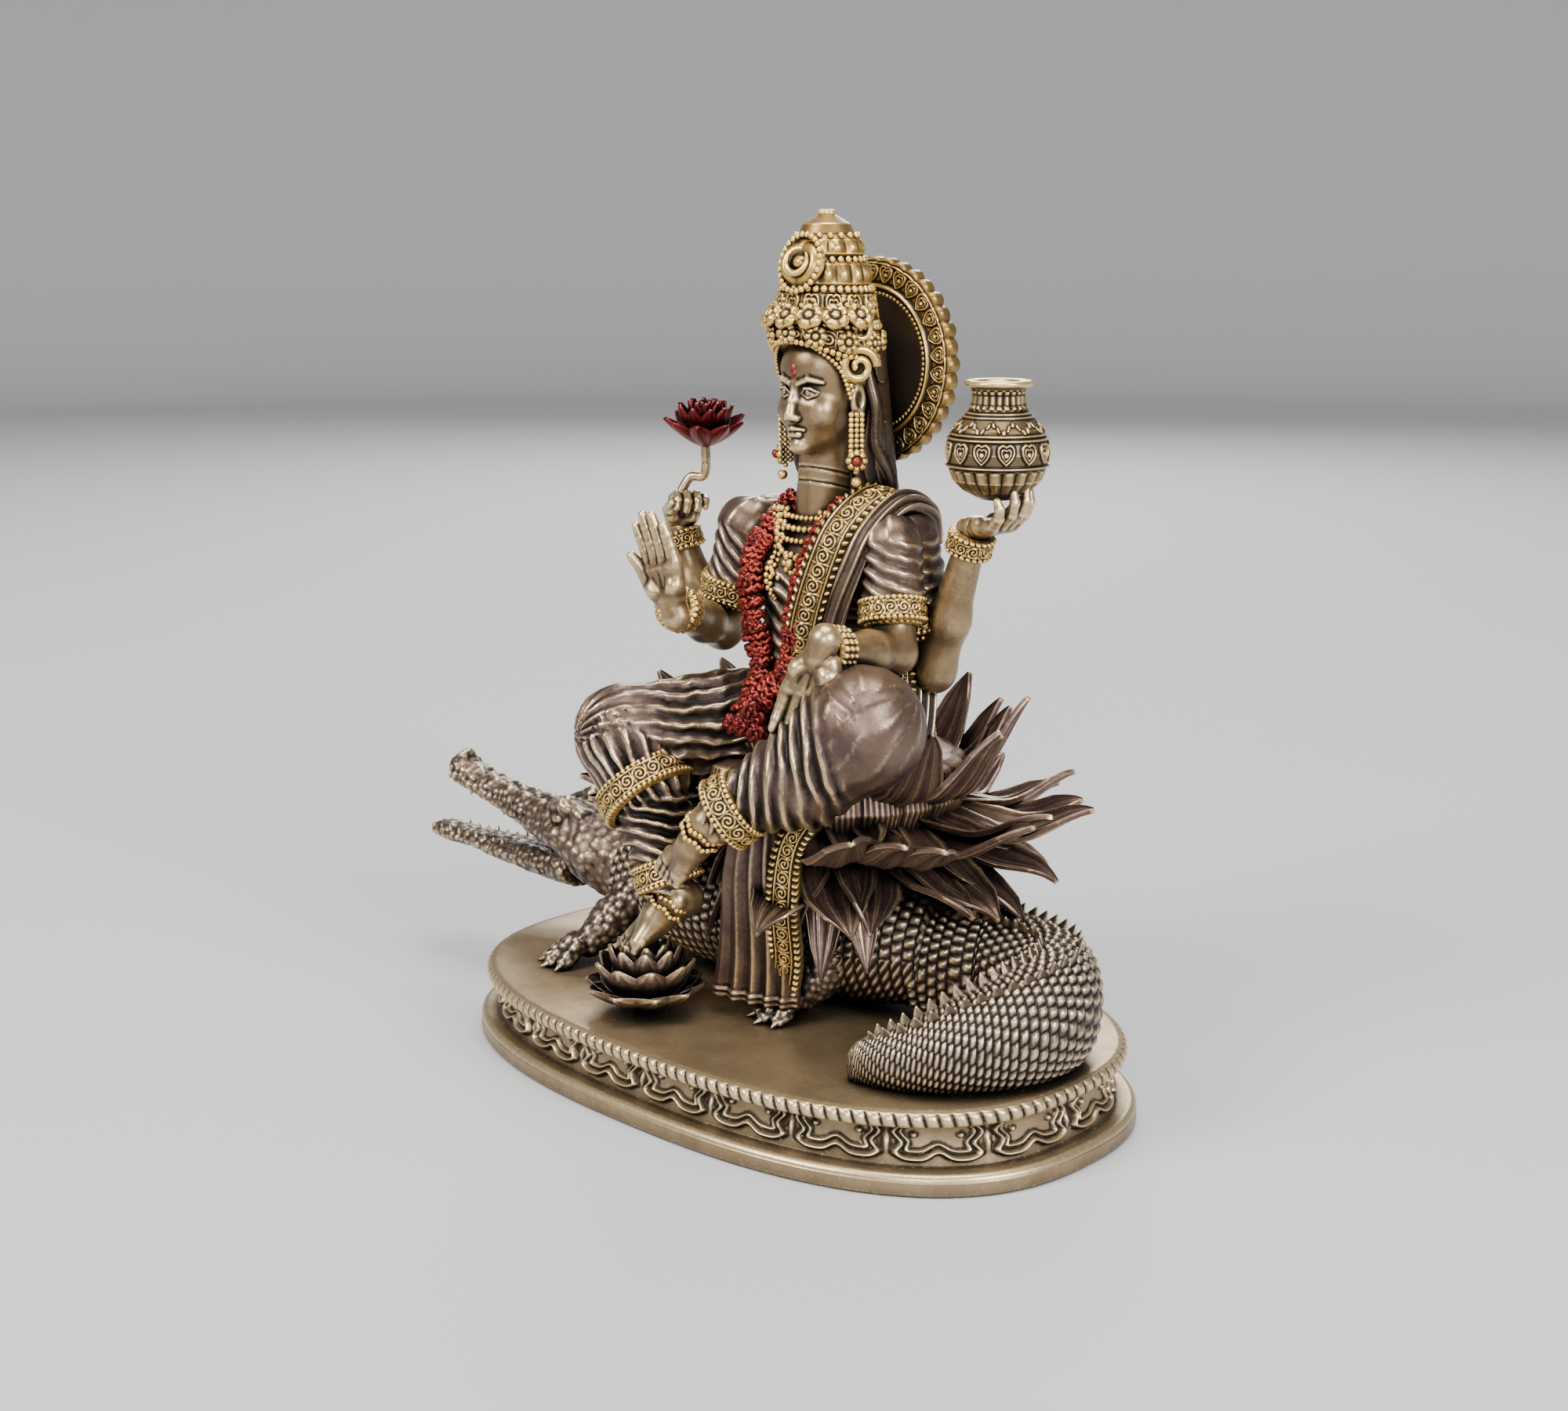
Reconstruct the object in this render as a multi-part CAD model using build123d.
"""A four-armed goddess seated on a lotus, above a crocodile, on an oval plinth.

Millimetres, +Z up. The origin is the centre of the plinth's underside. The figure faces -Y and
the crocodile's head is at the -X end. Every piece is cast on its own and cut to seat against
the pieces that are placed before it, so neighbours meet face to face and never overlap.
"""
from build123d import *
import math
import os

# Plinth: a smooth foot, a recessed band and an overhanging plate, all the same rounded oval.
PLINTH_LENGTH = 191.0
PLINTH_WIDTH = 117.0
PLINTH_HEIGHT = 19.4
FOOT_BAND_HEIGHT = 5.4
PLATE_THICKNESS = 3.8
PLATE_INSET = 4.0
BAND_INSET_TOP = 9.0
BAND_INSET_BOTTOM = 5.5
OVAL_POWER = 2.5
OVAL_POINTS = 40

# Crocodile.
CROC_BODY_LENGTH = 102.0
CROC_BODY_WIDTH = 42.0
CROC_BODY_HEIGHT = 35.0
CROC_SKULL_LENGTH = 68.0
CROC_JAW_LENGTH = 60.0
CROC_MOUTH_GAP = 22.0
CROC_TOOTH_HEIGHT = 3.4
CROC_TOOTH_RADIUS = 0.95
CROC_TEETH_PER_SIDE = 7
CROC_LEG_RADIUS = 6.0
CROC_TOE_RADIUS = 1.7
CROC_FOOT_LENGTH = 17.0
TAIL_HEIGHT = 29.0
TAIL_WIDTH = 19.0
TAIL_END_INSET = 4.5
SCUTE_HEIGHT = 4.2
SCUTE_LENGTH = 5.4
SCUTE_THICKNESS = 1.8
SCUTE_COUNT = 12

# Lotus throne.
THRONE_WIDTH = 66.0
THRONE_HEIGHT = 33.0
SEAT_DIP = 3.0
SEED_HEAD_BEDDING = 5.0
PETAL_THICKNESS = 2.4
PETAL_WIDTH = 14.0
PETAL_REACH = 60.0
HANGING_PETAL_WIDTH = 12.0

# Seated figure.
SEAT_HEIGHT = 66.0
PELVIS_WIDTH = 52.0
TORSO_HEIGHT = 53.0
CHEST_WIDTH = 42.0
CHEST_DEPTH = 25.0
WAIST_WIDTH = 31.0
NECK_RADIUS = 6.4
HEAD_WIDTH = 23.0
HEAD_HEIGHT = 31.0
HEAD_RISE = 34.0
CROWN_RADIUS = 14.6
CROWN_HEIGHT = 33.0
HALO_RADIUS = 25.6
HALO_THICKNESS = 3.0
HALO_SCALLOPS = 36
HALO_SCALLOP_RADIUS = 1.9
SHOULDER_WIDTH = 49.0
SHOULDER_INSET = 3.5

# Limbs.
UPPER_ARM_RADIUS = 6.8
ELBOW_RADIUS = 5.4
WRIST_RADIUS = 3.7
HAND_LENGTH = 21.0
HAND_WIDTH = 11.4
FINGER_RADIUS = 1.55
THIGH_RADIUS = 14.5
KNEE_RADIUS = 12.6
ANKLE_RADIUS = 5.2
FOOT_LENGTH = 17.5

# Dress and ornament.
BRACELET_THICKNESS = 1.2
BRACELET_WIDTH = 5.5
ARMLET_WIDTH = 6.5
ANKLET_WIDTH = 3.0
NECKLACE_RADIUS = 12.6
NECKLACE_THICKNESS = 3.6
HEM_THICKNESS = 1.5
HEM_WIDTH = 7.5
GARLAND_RADIUS = 3.3
DRAPE_WIDTH = 19.0
DRAPE_THICKNESS = 6.5
BORDER_WIDTH = 6.4
BORDER_THICKNESS = 2.4
SHAWL_WIDTH = 14.0
CLOTH_THICKNESS = 3.2

# Things held.
POT_RADIUS = 12.6
POT_HEIGHT = 27.6
POT_NECK_RADIUS = 6.3
POT_LIP_RADIUS = 7.6
POT_WALL = 1.6
POT_HOLLOW_DEPTH = 16.0
FLOWER_RADIUS = 9.4
FLOWER_HEIGHT = 10.5
STEM_RADIUS = 1.7

# Small lotus under the right foot.
FOOT_LOTUS_RADIUS = 14.6


def unit(vector):
    """The same direction, one millimetre long."""
    return Vector(*vector).normalized()


def step(start, direction, distance):
    """The point at a distance from start along a direction."""
    return Vector(*start) + unit(direction) * distance


def between(first, second, share):
    """The point that is a share of the way from first to second."""
    return Vector(*first) * (1 - share) + Vector(*second) * share


# Levels and skeleton, worked out from the sizes above.
PLATE_TOP = PLINTH_HEIGHT
HIP_Z = PLATE_TOP + SEAT_HEIGHT
SHOULDER_Z = HIP_Z + TORSO_HEIGHT
SPINE_X = 3.0
SPINE_Y = 10.0
HEAD_CENTRE = Vector(SPINE_X + 3.0, SPINE_Y - 5.0, SHOULDER_Z + HEAD_RISE)
CROWN_BASE_Z = HEAD_CENTRE.Z + HEAD_HEIGHT / 2 - 5.0

RIGHT_HIP = Vector(SPINE_X - PELVIS_WIDTH / 4, SPINE_Y - 3, HIP_Z + 2)
RIGHT_KNEE = step(RIGHT_HIP, (-20, -38, 1), 43.0)
RIGHT_ANKLE = step(RIGHT_KNEE, (18.5, 1, -39), 43.2)
RIGHT_TOE = step(RIGHT_ANKLE, (-6, -9, -12), FOOT_LENGTH)
LEFT_HIP = Vector(SPINE_X + PELVIS_WIDTH / 4, SPINE_Y - 5, HIP_Z + 3)
LEFT_KNEE = step(LEFT_HIP, (28, -27, 11), 40.5)
LEFT_ANKLE = step(LEFT_KNEE, (-30, -20, -24), 43.5)
LEFT_TOE = step(LEFT_ANKLE, (-9, -3, -12), FOOT_LENGTH)

RIGHT_FRONT_SHOULDER = Vector(SPINE_X - SHOULDER_WIDTH / 2, SPINE_Y - 3, SHOULDER_Z - 1)
RIGHT_FRONT_ELBOW = step(RIGHT_FRONT_SHOULDER, (-6, -4, -26), 27.5)
RIGHT_FRONT_WRIST = step(RIGHT_FRONT_ELBOW, (15, -31, 11), 36.0)
RIGHT_BACK_SHOULDER = Vector(SPINE_X - SHOULDER_WIDTH / 2 + 1, SPINE_Y + 5, SHOULDER_Z - 1)
RIGHT_BACK_ELBOW = step(RIGHT_BACK_SHOULDER, (-25, 0, -28), 37.0)
RIGHT_BACK_WRIST = step(RIGHT_BACK_ELBOW, (-8.5, -3, 24), 25.5)
LEFT_FRONT_SHOULDER = Vector(SPINE_X + SHOULDER_WIDTH / 2, SPINE_Y - 4, SHOULDER_Z - 1)
LEFT_FRONT_ELBOW = step(LEFT_FRONT_SHOULDER, (6, -5, -24), 25.5)
LEFT_FRONT_WRIST = step(LEFT_FRONT_ELBOW, (4, -24, 4), 25.0)
LEFT_BACK_SHOULDER = Vector(SPINE_X + SHOULDER_WIDTH / 2 - 1, SPINE_Y + 3, SHOULDER_Z - 1)
LEFT_BACK_ELBOW = step(LEFT_BACK_SHOULDER, (8.5, 1, -30.5), 31.5)
LEFT_BACK_WRIST = step(LEFT_BACK_ELBOW, (13, -2, 36), 38.3)


# Basic shapes.

def oval(half_length, half_width, z):
    """A face bounded by a rounded oval, fuller at its shoulders than an ellipse."""
    points = []
    for index in range(OVAL_POINTS):
        angle = 2 * math.pi * index / OVAL_POINTS
        cosine = math.cos(angle)
        sine = math.sin(angle)
        x = math.copysign(abs(cosine) ** (2 / OVAL_POWER), cosine) * half_length
        y = math.copysign(abs(sine) ** (2 / OVAL_POWER), sine) * half_width
        points.append((x, y, z))
    return Face(Wire([Edge.make_spline(points, periodic=True)]))


def limb(start, start_radius, end, end_radius):
    """A tapered limb with a round ball at each end."""
    axis = end - start
    length = axis.length
    lean = math.asin((start_radius - end_radius) / length)
    foot = (start_radius * math.cos(lean), start_radius * math.sin(lean))
    head = (end_radius * math.cos(lean), length + end_radius * math.sin(lean))
    half = math.sqrt(0.5)
    foot_angle = (lean - math.pi / 2) / 2
    head_angle = (lean + math.pi / 2) / 2
    foot_mid = (start_radius * math.cos(foot_angle), start_radius * math.sin(foot_angle))
    head_mid = (end_radius * math.cos(head_angle), length + end_radius * math.sin(head_angle))
    outline = [
        ThreePointArc((0, -start_radius), foot_mid, foot),
        Line(foot, head),
        ThreePointArc(head, head_mid, (0, length + end_radius)),
        Line((0, length + end_radius), (0, -start_radius)),
    ]
    profile = Plane.XZ * make_face(Curve() + outline)
    solid = revolve(profile, Axis.Z, 360)
    return Plane(origin=start, z_dir=axis) * solid


def chain(points, radii):
    """Limbs joined end to end through a list of points."""
    solid = None
    for index in range(len(points) - 1):
        link = limb(points[index], radii[index], points[index + 1], radii[index + 1])
        solid = link if solid is None else solid + link
    return solid


def turned(profile_points, centre, z_dir=(0, 0, 1)):
    """A solid turned about an axis through centre from (radius, height) points."""
    face = Plane.XZ * make_face(Polyline(*profile_points, close=True))
    return Plane(origin=centre, z_dir=z_dir) * revolve(face, Axis.Z, 360)


def ribbon(stations, side):
    """A solid lofted through flattened ovals; each station is (centre, half width, half depth).

    The wide way of every oval points along side.
    """
    sections = []
    count = len(stations)
    for index, (centre, half_width, half_depth) in enumerate(stations):
        before = Vector(*stations[max(index - 1, 0)][0])
        after = Vector(*stations[min(index + 1, count - 1)][0])
        along = unit(after - before)
        across = Vector(*side)
        across = across - along * across.dot(along)
        plane = Plane(origin=centre, x_dir=across, z_dir=along)
        sections.append(plane * Ellipse(half_width, half_depth))
    return loft(sections)


def cuff(start, end, share, radius, width):
    """A short cylinder about a limb, a share of the way along it."""
    centre = between(start, end, share)
    return Plane(origin=centre, z_dir=end - start) * Cylinder(radius, width)


# Plinth and crocodile.

def plinth():
    """Foot band, recessed sloping band and overhanging plate in one piece."""
    half_length = PLINTH_LENGTH / 2
    half_width = PLINTH_WIDTH / 2
    plate_bottom = PLINTH_HEIGHT - PLATE_THICKNESS
    foot = extrude(oval(half_length, half_width, 0), FOOT_BAND_HEIGHT, dir=(0, 0, 1))
    band = loft([
        oval(half_length - BAND_INSET_BOTTOM, half_width - BAND_INSET_BOTTOM, FOOT_BAND_HEIGHT),
        oval(half_length - BAND_INSET_TOP, half_width - BAND_INSET_TOP, plate_bottom),
    ])
    plate_face = oval(half_length - PLATE_INSET, half_width - PLATE_INSET / 4, plate_bottom)
    plate = extrude(plate_face, PLATE_THICKNESS, dir=(0, 0, 1))
    return foot + band + plate


CROC_NECK_X = -62.0
CROC_RUMP_X = CROC_NECK_X + CROC_BODY_LENGTH
CROC_SPINE_Z = PLATE_TOP + CROC_BODY_HEIGHT / 2 - 0.4


def crocodile_body():
    """Barrel from the neck to the rump, lying on the plinth."""
    half_width = CROC_BODY_WIDTH / 2
    half_height = CROC_BODY_HEIGHT / 2
    stations = [(0.0, 4, 0.60, 0.74), (0.25, 6, 0.92, 0.92), (0.5, 8, 1.0, 1.0),
                (0.78, 10, 0.92, 0.96), (1.0, 14, 0.64, 0.83)]
    sections = []
    for share, y, wide, high in stations:
        x = CROC_NECK_X + CROC_BODY_LENGTH * share
        plane = Plane(origin=(x, y, CROC_SPINE_Z), x_dir=(0, 1, 0), z_dir=(1, 0, 0))
        sections.append(plane * Ellipse(half_width * wide, half_height * high))
    return loft(sections)


SKULL_STATIONS = [(0.0, 12.4, 12.2), (0.3, 11.5, 10.5), (0.55, 8.6, 6.8), (0.8, 5.6, 3.6),
                  (1.0, 4.4, 2.4)]
JAW_STATIONS = [(0.0, 9.6, 6.0), (0.38, 7.6, 4.0), (0.72, 5.4, 2.9), (1.0, 3.6, 2.0)]
SKULL_BACK = Vector(CROC_NECK_X, 4, CROC_SPINE_Z + 1)
SKULL_TIP = step(SKULL_BACK, (-1, -0.1, 0.32), CROC_SKULL_LENGTH + 4)
JAW_BACK = Vector(CROC_NECK_X - 20, 1.6, SKULL_TIP.Z - CROC_MOUTH_GAP)
JAW_TIP = step(JAW_BACK, (-1, -0.09, -0.01), CROC_JAW_LENGTH + 1)


def crocodile_skull():
    """Upper jaw and skull, raised from the neck."""
    stations = [(between(SKULL_BACK, SKULL_TIP, share), wide, high)
                for share, wide, high in SKULL_STATIONS]
    return ribbon(stations, (0, 1, 0))


def crocodile_lower_jaw():
    """Lower jaw, held low so that the mouth gapes."""
    stations = [(between(JAW_BACK, JAW_TIP, share), wide, high)
                for share, wide, high in JAW_STATIONS]
    return ribbon(stations, (0, 1, 0))


def width_at(stations, share):
    """Half width and half height of a lofted jaw at a share of its length."""
    for first, second in zip(stations, stations[1:]):
        if share <= second[0]:
            part = (share - first[0]) / (second[0] - first[0])
            return (first[1] + (second[1] - first[1]) * part,
                    first[2] + (second[2] - first[2]) * part)
    return stations[-1][1:]


def tooth(root, point):
    """A cone from a root to a point."""
    length = (point - root).length
    plane = Plane(origin=between(root, point, 0.5), z_dir=point - root)
    return plane * Cone(CROC_TOOTH_RADIUS, 0.12, length)


def crocodile_teeth():
    """Pointed teeth along both edges of both jaws."""
    teeth = []
    for side in (-1, 1):
        for index in range(CROC_TEETH_PER_SIDE):
            share = 0.48 + 0.48 * index / (CROC_TEETH_PER_SIDE - 1)
            for back, tip, stations, up in ((SKULL_BACK, SKULL_TIP, SKULL_STATIONS, -1),
                                            (JAW_BACK, JAW_TIP, JAW_STATIONS, 1)):
                wide, high = width_at(stations, share)
                root = between(back, tip, share) + Vector(0, side * wide * 0.72, up * high * 0.5)
                point = root + Vector(0, 0, up * (CROC_TOOTH_HEIGHT + high * 0.3))
                teeth.append(tooth(root, point))
    return teeth


def crocodile_leg(shoulder, ankle, heading):
    """A bent leg ending in a flat foot with four spread toes."""
    solid = limb(shoulder, CROC_LEG_RADIUS, ankle, CROC_LEG_RADIUS * 0.6)
    for spread in (-24, -8, 8, 24):
        toe_way = Vector(*heading).rotate(Axis.Z, spread)
        toe = step(ankle, toe_way, CROC_FOOT_LENGTH)
        toe_end = Vector(toe.X, toe.Y, PLATE_TOP + CROC_TOE_RADIUS * 0.7)
        solid += limb(ankle, CROC_TOE_RADIUS * 1.5, toe_end, CROC_TOE_RADIUS * 0.7)
    return solid


TAIL_END_X = PLINTH_LENGTH / 2 - TAIL_END_INSET
TAIL_PATH = [
    # x, y, share of the width, share of the height
    (CROC_RUMP_X, 14, 1.40, 1.0),
    (between((CROC_RUMP_X, 0, 0), (TAIL_END_X, 0, 0), 0.36).X, 18, 1.14, 1.0),
    (TAIL_END_X - 19, 15.5, 1.02, 1.0),
    (TAIL_END_X - 10, 3, 0.98, 0.98),
    (TAIL_END_X - 11, -11, 0.92, 0.88),
    (TAIL_END_X - 18, -22, 0.84, 0.72),
    (TAIL_END_X - 27, -29.5, 0.62, 0.52),
    (TAIL_END_X - 38, -33.5, 0.30, 0.32),
]


def tail_section(index):
    """The tail's upright oval at one place on its path, standing on the plinth."""
    x, y, wide, high = TAIL_PATH[index]
    before = TAIL_PATH[max(index - 1, 0)]
    after = TAIL_PATH[min(index + 1, len(TAIL_PATH) - 1)]
    along = Vector(after[0] - before[0], after[1] - before[1], 0)
    half_height = TAIL_HEIGHT * high / 2
    plane = Plane(origin=(x, y, PLATE_TOP + half_height - 0.3), x_dir=(0, 0, 1), z_dir=along)
    return plane * Ellipse(half_height, TAIL_WIDTH * wide / 2)


def tail_piece(first, last):
    """The tail between two of its sections."""
    return loft([tail_section(index) for index in range(first, last + 1)])


def tail_scutes():
    """Raised triangular plates along the top of the tail."""
    scutes = []
    for number in range(SCUTE_COUNT):
        place = 0.35 + (len(TAIL_PATH) - 2.0) * number / (SCUTE_COUNT - 1)
        index = int(place)
        part = place - index
        x, y, wide, high = (a + (b - a) * part
                            for a, b in zip(TAIL_PATH[index], TAIL_PATH[index + 1]))
        along = Vector(TAIL_PATH[index + 1][0] - TAIL_PATH[index][0],
                       TAIL_PATH[index + 1][1] - TAIL_PATH[index][1], 0)
        size = 0.45 + 0.55 * high
        ridge_z = PLATE_TOP + TAIL_HEIGHT * high
        plane = Plane(origin=(x, y, ridge_z - 1.2), x_dir=along, z_dir=along.cross(Vector(0, 0, 1)))
        half = SCUTE_LENGTH * size / 2
        outline = Polyline((-half, 0), (half, 0), (half * 0.9, SCUTE_HEIGHT * size), close=True)
        plate = extrude(make_face(outline), SCUTE_THICKNESS / 2, both=True)
        scutes.append(plane * plate)
    return scutes


# Lotus throne.

THRONE_X = SPINE_X + 1
THRONE_Y = SPINE_Y + 2
THRONE_BOTTOM = HIP_Z - THRONE_HEIGHT - SEAT_DIP


def lotus_core():
    """Seed head that the petals stand round, from the crocodile's back up to the seat."""
    radius = THRONE_WIDTH / 2
    top = THRONE_HEIGHT
    bedded_z = PLATE_TOP + CROC_BODY_HEIGHT - SEED_HEAD_BEDDING
    foot = min(0, bedded_z - THRONE_BOTTOM)
    points = [(0, foot), (radius * 0.55, foot), (radius * 0.8, top * 0.3), (radius, top * 0.72),
              (radius * 0.94, top), (0, top)]
    return turned(points, (THRONE_X, THRONE_Y, THRONE_BOTTOM))


def petal(angle, root_share, reach, root_z, bow, tip_z, width=PETAL_WIDTH):
    """One slender pointed petal, radiating at an angle in degrees from the seed head.

    It runs from root_z, a share of the throne's radius out, to tip_z at reach, and bow lifts
    its middle.
    """
    outward = Vector(math.cos(math.radians(angle)), math.sin(math.radians(angle)), 0)
    sideways = Vector(-outward.Y, outward.X, 0)
    centre = Vector(THRONE_X, THRONE_Y, 0)
    root_reach = THRONE_WIDTH / 2 * root_share
    stations = []
    for share, wide in ((0.0, 0.30), (0.3, 0.46), (0.65, 0.40), (1.0, 0.06)):
        distance = root_reach + (reach - root_reach) * share
        z = root_z + (tip_z - root_z) * share + bow * 4 * share * (1 - share)
        thickness = PETAL_THICKNESS / 2 * (1 - 0.5 * share)
        stations.append((centre + outward * distance + Vector(0, 0, z), width * wide, thickness))
    return ribbon(stations, sideways)


def petal_ring(angles, root_share, reach, root_z, bow, tip_z, width=PETAL_WIDTH):
    """Petals at several angles; those towards the sides reach a little further."""
    petals = []
    for angle in angles:
        stretch = 0.84 + 0.16 * abs(math.cos(math.radians(angle)))
        petals.append(petal(angle, root_share, reach * stretch, root_z, bow, tip_z, width))
    return petals


def upper_petals():
    """Petals that rise behind the figure."""
    z = THRONE_BOTTOM + THRONE_HEIGHT * 0.84
    angles = (-8, 22, 50, 78, 106, 134, 162, 190)
    return petal_ring(angles, 0.86, PETAL_REACH * 0.82, z, -3, HIP_Z + 9)


def middle_petals():
    """The longest petals, spread almost level."""
    z = THRONE_BOTTOM + THRONE_HEIGHT * 0.5
    angles = (-24, 6, 36, 66, 94, 122, 150, 178, 208)
    return petal_ring(angles, 0.78, PETAL_REACH * 1.1, z, -5, HIP_Z - 14)


def lower_petals():
    """Petals that droop over the crocodile's back."""
    z = THRONE_BOTTOM + THRONE_HEIGHT * 0.22
    angles = (-40, -10, 20, 50, 80, 108, 136, 164, 194)
    return petal_ring(angles, 0.6, PETAL_REACH * 0.92, z, 3, HIP_Z - 34)


def hanging_petals():
    """Short petals that hang down over the crocodile's flank at the front."""
    z = THRONE_BOTTOM + THRONE_HEIGHT * 0.16
    petals = []
    for angle, tip_rise in ((-50, 13), (-124, 16)):
        tip_z = PLATE_TOP + tip_rise
        petals.append(petal(angle, 0.5, THRONE_WIDTH * 0.47, z, 9, tip_z, HANGING_PETAL_WIDTH))
    return petals


# Seated figure.

def pelvis():
    """Wrapped hips on the seat."""
    half = PELVIS_WIDTH / 2
    sections = []
    for rise, wide, deep in ((-7, 0.86, 0.74), (2, 1.0, 0.84), (11, 0.78, 0.66), (16, 0.64, 0.5)):
        plane = Plane(origin=(SPINE_X, SPINE_Y + 1, HIP_Z + rise))
        sections.append(plane * Ellipse(half * wide, half * deep))
    return loft(sections)


def torso():
    """Waist, chest and shoulders."""
    wide = CHEST_WIDTH / 2
    deep = CHEST_DEPTH / 2
    waist = WAIST_WIDTH / 2
    shoulder = SHOULDER_WIDTH / 2 - SHOULDER_INSET
    sections = []
    for share, half_width, half_depth in ((0.22, waist, deep * 0.92), (0.42, waist, deep * 0.88),
                                          (0.7, wide * 0.9, deep), (0.92, shoulder, deep * 0.92),
                                          (1.06, shoulder * 0.72, deep * 0.68), (1.13, 8.2, 7.0)):
        plane = Plane(origin=(SPINE_X, SPINE_Y, HIP_Z + TORSO_HEIGHT * share))
        sections.append(plane * Ellipse(half_width, half_depth))
    solid = loft(sections)
    for side in (-1, 1):
        centre = (SPINE_X + side * wide * 0.42, SPINE_Y - deep * 0.62, HIP_Z + TORSO_HEIGHT * 0.73)
        solid += Pos(*centre) * Sphere(CHEST_WIDTH * 0.19)
    return solid


def head():
    """Neck and head."""
    neck_foot = Vector(SPINE_X, SPINE_Y - 1, SHOULDER_Z + 2)
    neck = limb(neck_foot, NECK_RADIUS * 1.2, HEAD_CENTRE - Vector(0, 0, HEAD_HEIGHT / 4), NECK_RADIUS)
    half_width = HEAD_WIDTH / 2
    half_height = HEAD_HEIGHT / 2
    stations = [(-1.0, 0.16), (-0.86, 0.5), (-0.5, 0.84), (0.0, 1.0), (0.5, 0.9), (1.0, 0.3)]
    sections = []
    for rise, wide in stations:
        plane = Plane(origin=HEAD_CENTRE + Vector(0, -1 * (rise < -0.4), half_height * rise))
        sections.append(plane * Ellipse(half_width * wide, half_width * wide * 1.1))
    return neck + loft(sections)


def crown():
    """Tall tiered crown, closed at the top."""
    radius = CROWN_RADIUS
    top = CROWN_HEIGHT
    points = [(0, -2), (radius * 0.92, -2), (radius, top * 0.06), (radius * 0.92, top * 0.2),
              (radius * 0.97, top * 0.3), (radius * 0.8, top * 0.46), (radius * 0.8, top * 0.54),
              (radius * 0.56, top * 0.7), (radius * 0.54, top * 0.8), (radius * 0.28, top * 0.93),
              (0, top)]
    return turned(points, (HEAD_CENTRE.X, HEAD_CENTRE.Y + 1, CROWN_BASE_Z))


def hair():
    """Hair down the back of the neck and over the shoulders."""
    x = HEAD_CENTRE.X
    y = HEAD_CENTRE.Y
    z = HEAD_CENTRE.Z
    stations = [((x, y + 7, z + 11), 12.0, 9.0), ((x, y + 8, z - 6), 14.6, 9.4),
                ((x - 1, y + 10, z - 22), 17.0, 8.4), ((x - 2, y + 12, z - 40), 14.0, 5.6)]
    return ribbon(stations, (1, 0, 0))


HALO_CENTRE = Vector(HEAD_CENTRE.X - 1, HEAD_CENTRE.Y + 19, HEAD_CENTRE.Z + 7.5)


def halo_disc():
    """Thin dished disc behind the head."""
    inner = HALO_RADIUS * 0.76
    points = [(0, 0), (inner * 0.9, 0), (inner, -0.8), (inner, HALO_THICKNESS * 0.7),
              (0, HALO_THICKNESS * 0.7)]
    return turned(points, HALO_CENTRE, (0, 1, 0))


def halo_rim():
    """Raised ring round the disc with a scalloped edge."""
    inner = HALO_RADIUS * 0.76
    outer = HALO_RADIUS - 1.6
    points = [(inner, -1.2), (outer, -0.6), (outer, HALO_THICKNESS), (inner, HALO_THICKNESS)]
    ring = turned(points, HALO_CENTRE, (0, 1, 0))
    plane = Plane(origin=HALO_CENTRE + Vector(0, HALO_THICKNESS / 2 + 0.3, 0), z_dir=(0, 1, 0))
    scallop = Cylinder(HALO_SCALLOP_RADIUS, HALO_THICKNESS - 0.8)
    scallops = plane * PolarLocations(outer - 0.3, HALO_SCALLOPS) * scallop
    return ring + list(scallops)


def hand(wrist, along, normal, curl):
    """An open hand: palm, four fingers and thumb.

    along points from the wrist to the fingertips, normal out of the palm, and curl bends the
    fingers towards the normal.
    """
    along = unit(along)
    normal = unit(Vector(*normal) - along * Vector(*normal).dot(along))
    across = along.cross(normal)
    half_width = HAND_WIDTH / 2
    half_depth = FINGER_RADIUS + 0.25
    palm_length = HAND_LENGTH * 0.46
    outline = Polyline((-WRIST_RADIUS * 0.85, 0), (WRIST_RADIUS * 0.85, 0),
                       (half_width * 0.98, palm_length * 0.55), (half_width, palm_length),
                       (-half_width, palm_length), (-half_width * 0.98, palm_length * 0.4),
                       close=True)
    palm = extrude(make_face(outline), half_depth, both=True)
    solid = Plane(origin=wrist, x_dir=across, z_dir=across.cross(along)) * palm
    knuckles = wrist + along * (palm_length - FINGER_RADIUS)
    for place, reach in ((-0.72, 0.84), (-0.24, 1.0), (0.24, 0.96), (0.72, 0.78)):
        root = knuckles + across * half_width * place
        middle = root + unit(along + normal * curl * 0.5) * HAND_LENGTH * 0.3 * reach
        tip = middle + unit(along + normal * curl) * HAND_LENGTH * 0.27 * reach
        solid += chain([root, middle, tip], [FINGER_RADIUS, FINGER_RADIUS, FINGER_RADIUS * 0.8])
    root = wrist + along * HAND_LENGTH * 0.16 - across * half_width * 0.6
    tip = root + unit(along * 1.3 - across * 0.8 + normal * 0.5) * HAND_LENGTH * 0.4
    solid += limb(root, FINGER_RADIUS, tip, FINGER_RADIUS * 0.85)
    return solid


def foot(ankle, toe):
    """A bare foot from the ankle to the toes."""
    along = toe - ankle
    heel = ankle - unit(along) * 1.0
    stations = [(heel, 4.8, 4.6), (between(ankle, toe, 0.5), 5.3, 3.6), (toe, 5.6, 1.8)]
    return ribbon(stations, along.cross(Vector(0.3, 1, -0.4)))


# Dress and ornament.

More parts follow.
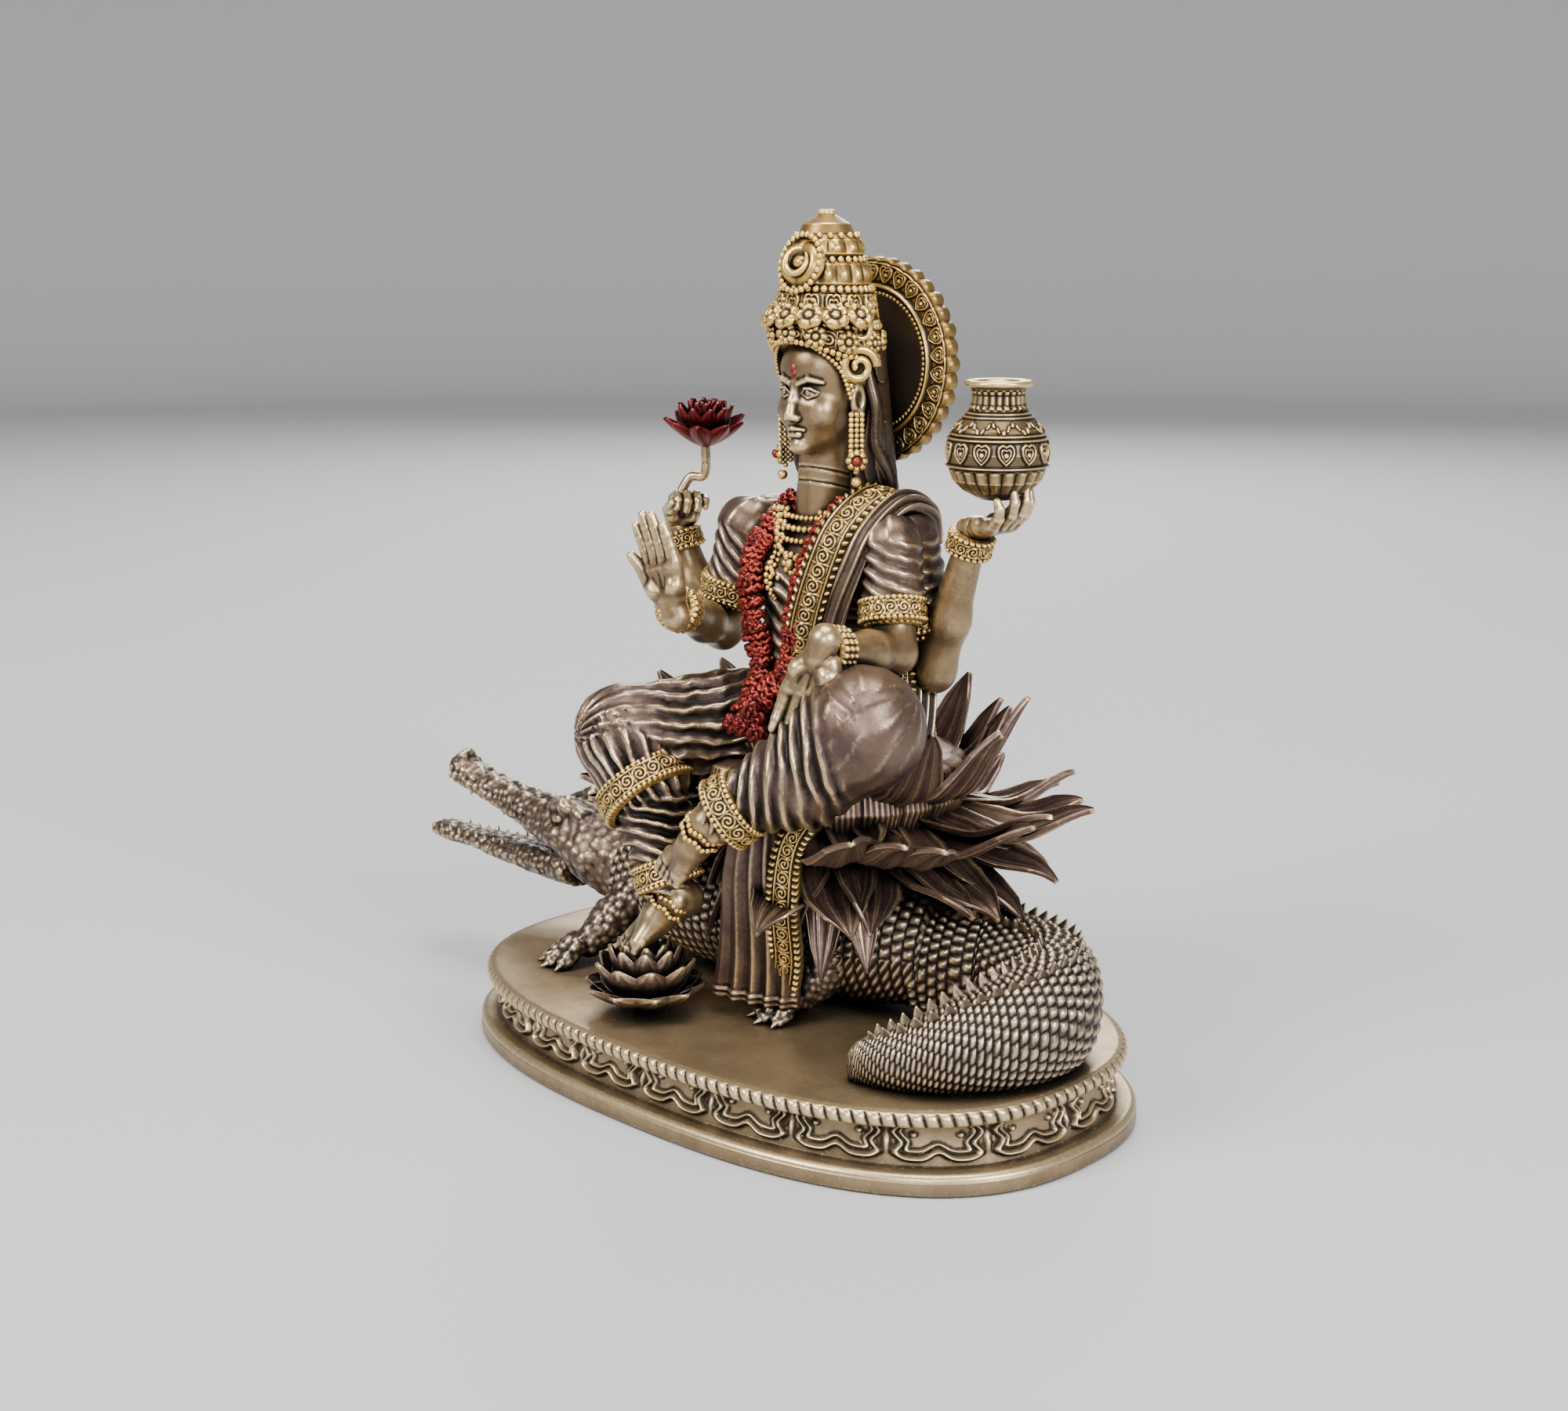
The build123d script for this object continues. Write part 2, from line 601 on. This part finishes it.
def front_drape():
    """Pleated cloth that falls between the legs to just above the plinth."""
    top_z = LEFT_ANKLE.Z + 4
    bottom_z = PLATE_TOP + 6
    fall = top_z - bottom_z
    half_width = DRAPE_WIDTH / 2
    half_depth = DRAPE_THICKNESS / 2
    stations = [((18, -25, top_z), half_width, half_depth),
                ((14, -25.5, top_z - fall * 0.35), half_width, half_depth * 1.1),
                ((10, -22, top_z - fall * 0.72), half_width * 0.9, half_depth),
                ((7, -20, bottom_z), half_width * 0.82, half_depth * 0.6)]
    return ribbon(stations, (1, 0.25, 0))


def drape_border():
    """Wide border that runs down the drape's left edge in an S curve."""
    top_z = LEFT_KNEE.Z - 15
    bottom_z = PLATE_TOP + 6
    fall = top_z - bottom_z
    half_width = BORDER_WIDTH / 2
    half_depth = BORDER_THICKNESS / 2
    stations = [((37, -24, top_z), half_width * 0.7, half_depth),
                ((27, -27, top_z - fall * 0.22), half_width, half_depth),
                ((22, -25, top_z - fall * 0.5), half_width, half_depth),
                ((19, -21, top_z - fall * 0.8), half_width, half_depth),
                ((13, -17, bottom_z), half_width, half_depth)]
    return ribbon(stations, (1, 0.3, 0))


def garland():
    """Two long strands of flowers that hang from the neck and meet in the lap."""
    lap = Vector(SPINE_X - 3, SPINE_Y - 24, HIP_Z + 9)
    right = [Vector(SPINE_X - 9, SPINE_Y - 1, SHOULDER_Z + 8),
             Vector(SPINE_X - 15, SPINE_Y - 12, SHOULDER_Z - 6),
             Vector(SPINE_X - 13, SPINE_Y - 17, SHOULDER_Z - 20),
             Vector(SPINE_X - 9, SPINE_Y - 16, SHOULDER_Z - 34), lap]
    left = [Vector(SPINE_X + 9, SPINE_Y - 2, SHOULDER_Z + 8),
            Vector(SPINE_X + 5, SPINE_Y - 14, SHOULDER_Z - 6),
            Vector(SPINE_X + 2, SPINE_Y - 17, SHOULDER_Z - 20),
            Vector(SPINE_X + 1, SPINE_Y - 16, SHOULDER_Z - 34), lap]
    return chain(right, [GARLAND_RADIUS] * 5) + chain(left, [GARLAND_RADIUS] * 5)


def shawl():
    """Folded shawl over the left shoulder and down the chest."""
    half_width = SHAWL_WIDTH / 2
    half_depth = CLOTH_THICKNESS / 2
    stations = [((SPINE_X + 17, SPINE_Y + 10, SHOULDER_Z + 1), half_width, half_depth),
                ((SPINE_X + 18, SPINE_Y, SHOULDER_Z + 7), half_width, half_depth),
                ((SPINE_X + 15, SPINE_Y - 12, SHOULDER_Z - 6), half_width, half_depth),
                ((SPINE_X + 10, SPINE_Y - 15, SHOULDER_Z - 24), half_width * 0.8, half_depth),
                ((SPINE_X + 6, SPINE_Y - 12, SHOULDER_Z - 40), half_width * 0.6, half_depth)]
    return ribbon(stations, (1, 0.2, 0))


def sash():
    """End of the shawl that hangs behind the left hip."""
    half_width = SHAWL_WIDTH / 2
    half_depth = CLOTH_THICKNESS / 2
    x = SPINE_X + PELVIS_WIDTH / 2
    stations = [((x - 6, SPINE_Y + 6, SHOULDER_Z - 4), half_width * 0.7, half_depth),
                ((x - 2, SPINE_Y + 1, SHOULDER_Z - 26), half_width * 0.85, half_depth),
                ((x + 6, SPINE_Y - 3, HIP_Z + 4), half_width, half_depth)]
    return ribbon(stations, (0.5, 1, 0))


def necklace():
    """Broad collar of beads."""
    centre = Vector(SPINE_X, SPINE_Y - 3, SHOULDER_Z + 4)
    return Plane(origin=centre, z_dir=(0, -0.5, 1)) * Cylinder(NECKLACE_RADIUS, NECKLACE_THICKNESS)


def earrings():
    """A long bead drop at each ear."""
    drops = []
    for side in (-1, 1):
        top = HEAD_CENTRE + Vector(side * HEAD_WIDTH * 0.52, 0, -4)
        drops.append(limb(top, 2.3, top + Vector(side * 0.6, -1, -15), 1.7))
    return drops


def ring_set(places, thickness, width):
    """Plain rings round several limbs; each place is (start, end, share, limb radius)."""
    rings = []
    for start, end, share, limb_radius in places:
        rings.append(cuff(start, end, share, limb_radius + thickness, width))
    return rings


def bracelets():
    """A broad bangle at each wrist."""
    places = [(RIGHT_FRONT_ELBOW, RIGHT_FRONT_WRIST, 0.9, WRIST_RADIUS + 0.2),
              (RIGHT_BACK_ELBOW, RIGHT_BACK_WRIST, 0.86, WRIST_RADIUS + 0.2),
              (LEFT_FRONT_ELBOW, LEFT_FRONT_WRIST, 0.84, WRIST_RADIUS + 0.2),
              (LEFT_BACK_ELBOW, LEFT_BACK_WRIST, 0.9, WRIST_RADIUS + 0.2)]
    return ring_set(places, BRACELET_THICKNESS, BRACELET_WIDTH)


def armlets():
    """A band round each upper arm."""
    places = [(RIGHT_FRONT_SHOULDER, RIGHT_FRONT_ELBOW, 0.62, UPPER_ARM_RADIUS - 0.7),
              (RIGHT_BACK_SHOULDER, RIGHT_BACK_ELBOW, 0.66, UPPER_ARM_RADIUS - 0.8),
              (LEFT_FRONT_SHOULDER, LEFT_FRONT_ELBOW, 0.62, UPPER_ARM_RADIUS - 0.7),
              (LEFT_BACK_SHOULDER, LEFT_BACK_ELBOW, 0.64, UPPER_ARM_RADIUS - 0.7)]
    return ring_set(places, BRACELET_THICKNESS, ARMLET_WIDTH)


def hem_bands():
    """Borders of the leg cloth, at the right calf, right ankle and left ankle."""
    calf_radius = KNEE_RADIUS + (ANKLE_RADIUS - KNEE_RADIUS) * 0.36
    lower_radius = KNEE_RADIUS + (ANKLE_RADIUS - KNEE_RADIUS) * 0.86
    places = [(RIGHT_KNEE, RIGHT_ANKLE, 0.36, calf_radius),
              (RIGHT_KNEE, RIGHT_ANKLE, 0.86, lower_radius),
              (LEFT_KNEE, LEFT_ANKLE, 0.84, lower_radius + 0.3)]
    return ring_set(places, HEM_THICKNESS, HEM_WIDTH)


def anklets():
    """A ring of beads above each foot."""
    places = [(RIGHT_ANKLE, RIGHT_TOE, 0.16, ANKLE_RADIUS),
              (LEFT_ANKLE, LEFT_TOE, 0.16, ANKLE_RADIUS)]
    return ring_set(places, BRACELET_THICKNESS, ANKLET_WIDTH)


# Things held and stood on.

POT_BASE = Vector(LEFT_BACK_WRIST.X + 7, LEFT_BACK_WRIST.Y, LEFT_BACK_WRIST.Z + 7.6)


def pot():
    """Round-bellied water pot with a narrow neck, flared lip and open mouth."""
    height = POT_HEIGHT
    inner = POT_NECK_RADIUS - POT_WALL
    points = [(0, 0), (POT_RADIUS * 0.5, 0), (POT_RADIUS * 0.86, height * 0.16),
              (POT_RADIUS, height * 0.38), (POT_RADIUS * 0.93, height * 0.58),
              (POT_NECK_RADIUS * 1.16, height * 0.78), (POT_NECK_RADIUS, height * 0.88),
              (POT_LIP_RADIUS, height * 0.95), (POT_LIP_RADIUS, height), (inner, height),
              (inner, height - POT_HOLLOW_DEPTH), (0, height - POT_HOLLOW_DEPTH)]
    return turned(points, POT_BASE)


FLOWER_BASE = step(RIGHT_BACK_WRIST, (11, 0.6, 23), 22.5)


def held_lotus():
    """A lotus flower on a short stem."""
    stem_foot = step(RIGHT_BACK_WRIST, (8, -1, 23), 9.0)
    stem = limb(stem_foot, STEM_RADIUS, FLOWER_BASE + Vector(0, 0, 1), STEM_RADIUS)
    radius = FLOWER_RADIUS
    height = FLOWER_HEIGHT
    points = [(0, -1), (2.4, -1), (radius * 0.62, height * 0.34), (radius, height * 0.7),
              (radius * 0.8, height * 0.9), (radius * 0.35, height), (0, height)]
    return turned(points, FLOWER_BASE) + stem


def foot_lotus():
    """Small double lotus that carries the right foot."""
    height = RIGHT_TOE.Z - 1.5 - PLATE_TOP
    radius = FOOT_LOTUS_RADIUS
    points = [(0, 0), (radius * 0.5, 0), (radius * 0.92, height * 0.2), (radius * 0.94, height * 0.4),
              (radius * 0.76, height * 0.52), (radius, height * 0.85), (radius * 0.7, height * 0.96),
              (0, height)]
    return turned(points, (RIGHT_TOE.X + 1.5, RIGHT_TOE.Y + 4, PLATE_TOP))


CROC_FRONT_X = CROC_NECK_X + 10
CROC_REAR_X = CROC_RUMP_X - 22
CROC_LEG_Z = PLATE_TOP + 13
CROC_ANKLE_Z = PLATE_TOP + 4


# Assembly: each piece is cut to seat against the ones before it.

placed = {}
boxes = {}


def loose_box(shape):
    """A shape's low and high corners, a little generous."""
    box = shape.bounding_box(optimal=False)
    return (*box.min, *box.max)


def meets(first, second):
    """Whether two boxes overlap."""
    return all(first[axis] < second[axis + 3] and second[axis] < first[axis + 3]
               for axis in range(3))


def seat(shape):
    """The largest solid left of a shape once the placed pieces are cut from it."""
    box = loose_box(shape)
    for name, solids in placed.items():
        for solid, solid_box in zip(solids, boxes[name]):
            if meets(box, solid_box):
                shape = shape - solid
    return max(shape.solids(), key=lambda solid: solid.volume)


def place(name, shapes):
    """Seat one shape, or several separate shapes that share a node, and keep them."""
    if not isinstance(shapes, list):
        shapes = [shapes]
    placed[name] = []
    boxes[name] = []
    for shape in shapes:
        solid = seat(shape)
        placed[name].append(solid)
        boxes[name].append(loose_box(solid))


place("plinth", plinth())
place("crocodile_body", crocodile_body())
place("crocodile_skull", crocodile_skull())
place("crocodile_lower_jaw", crocodile_lower_jaw())
place("crocodile_teeth", crocodile_teeth())
for name, knee_x, knee_y, ankle_shift, ankle_y, heading in (
        ("crocodile_front_right_leg", CROC_FRONT_X, -8, -4, -14, (-0.25, -1, 0)),
        ("crocodile_front_left_leg", CROC_FRONT_X, 18, -4, 26, (-0.4, 1, 0)),
        ("crocodile_rear_right_leg", CROC_REAR_X, -4, -6, -5, (-0.1, -1, 0)),
        ("crocodile_rear_left_leg", CROC_REAR_X, 22, 2, 30, (0.2, 1, 0))):
    ankle = Vector(knee_x + ankle_shift, ankle_y, CROC_ANKLE_Z)
    place(name, crocodile_leg(Vector(knee_x, knee_y, CROC_LEG_Z), ankle, heading))
place("tail_root", tail_piece(0, 2))
place("tail_curl", tail_piece(2, 5))
place("tail_tip", tail_piece(5, 7))
place("tail_scutes", tail_scutes())

place("lotus_core", lotus_core())
place("pelvis", pelvis())
place("torso", torso())
place("right_thigh", limb(RIGHT_HIP, THIGH_RADIUS, RIGHT_KNEE, KNEE_RADIUS))
place("right_shin", limb(RIGHT_KNEE, KNEE_RADIUS, RIGHT_ANKLE, ANKLE_RADIUS))
place("right_foot", foot(RIGHT_ANKLE, RIGHT_TOE))
place("left_thigh", limb(LEFT_HIP, THIGH_RADIUS, LEFT_KNEE, KNEE_RADIUS * 1.05))
place("left_shin", limb(LEFT_KNEE, KNEE_RADIUS * 1.02, LEFT_ANKLE, ANKLE_RADIUS * 1.1))
place("left_foot", foot(LEFT_ANKLE, LEFT_TOE))
place("foot_lotus", foot_lotus())

place("head", head())
place("crown", crown())
place("hair", hair())
place("halo_disc", halo_disc())
place("halo_rim", halo_rim())

ARM_JOINTS = {
    # shoulder, elbow, wrist
    "right_front": (RIGHT_FRONT_SHOULDER, RIGHT_FRONT_ELBOW, RIGHT_FRONT_WRIST),
    "left_front": (LEFT_FRONT_SHOULDER, LEFT_FRONT_ELBOW, LEFT_FRONT_WRIST),
    "right_back": (RIGHT_BACK_SHOULDER, RIGHT_BACK_ELBOW, RIGHT_BACK_WRIST),
    "left_back": (LEFT_BACK_SHOULDER, LEFT_BACK_ELBOW, LEFT_BACK_WRIST),
}
HAND_POSES = {
    # wrist, way to the fingertips, way out of the palm, bend of the fingers
    "right_front": (RIGHT_FRONT_WRIST, (-0.25, -0.12, 1), (-0.1, -1, 0), 0.1),
    "left_front": (LEFT_FRONT_WRIST, (-0.15, -0.45, -1), (0.3, -1, 0.3), 0.0),
    "right_back": (RIGHT_BACK_WRIST, (0.42, 0, 1), (0.9, -0.5, 0), 0.4),
    "left_back": (LEFT_BACK_WRIST, (1, 0, 0.35), (-0.35, 0, 1), 0.9),
}
for arm, (shoulder, elbow, wrist) in ARM_JOINTS.items():
    place(f"{arm}_upper_arm", limb(shoulder, UPPER_ARM_RADIUS, elbow, ELBOW_RADIUS))
    place(f"{arm}_forearm", limb(elbow, ELBOW_RADIUS, wrist, WRIST_RADIUS))
place("pot", pot())
for arm, hand_pose in HAND_POSES.items():
    place(f"{arm}_hand", hand(*hand_pose))
place("held_lotus", held_lotus())

place("garland", garland())
place("shawl", shawl())
place("sash", sash())
place("necklace", necklace())
place("earrings", earrings())
place("bracelets", bracelets())
place("armlets", armlets())
place("hem_bands", hem_bands())
place("anklets", anklets())
place("front_drape", front_drape())
place("drape_border", drape_border())
place("upper_petals", upper_petals())
place("middle_petals", middle_petals())
place("lower_petals", lower_petals())
place("hanging_petals", hanging_petals())

os.makedirs("parts", exist_ok=True)
for name, solids in placed.items():
    export_step(Compound(children=solids), f"parts/{name}.step")
    print(name, len(solids), round(sum(solid.volume for solid in solids), 1))
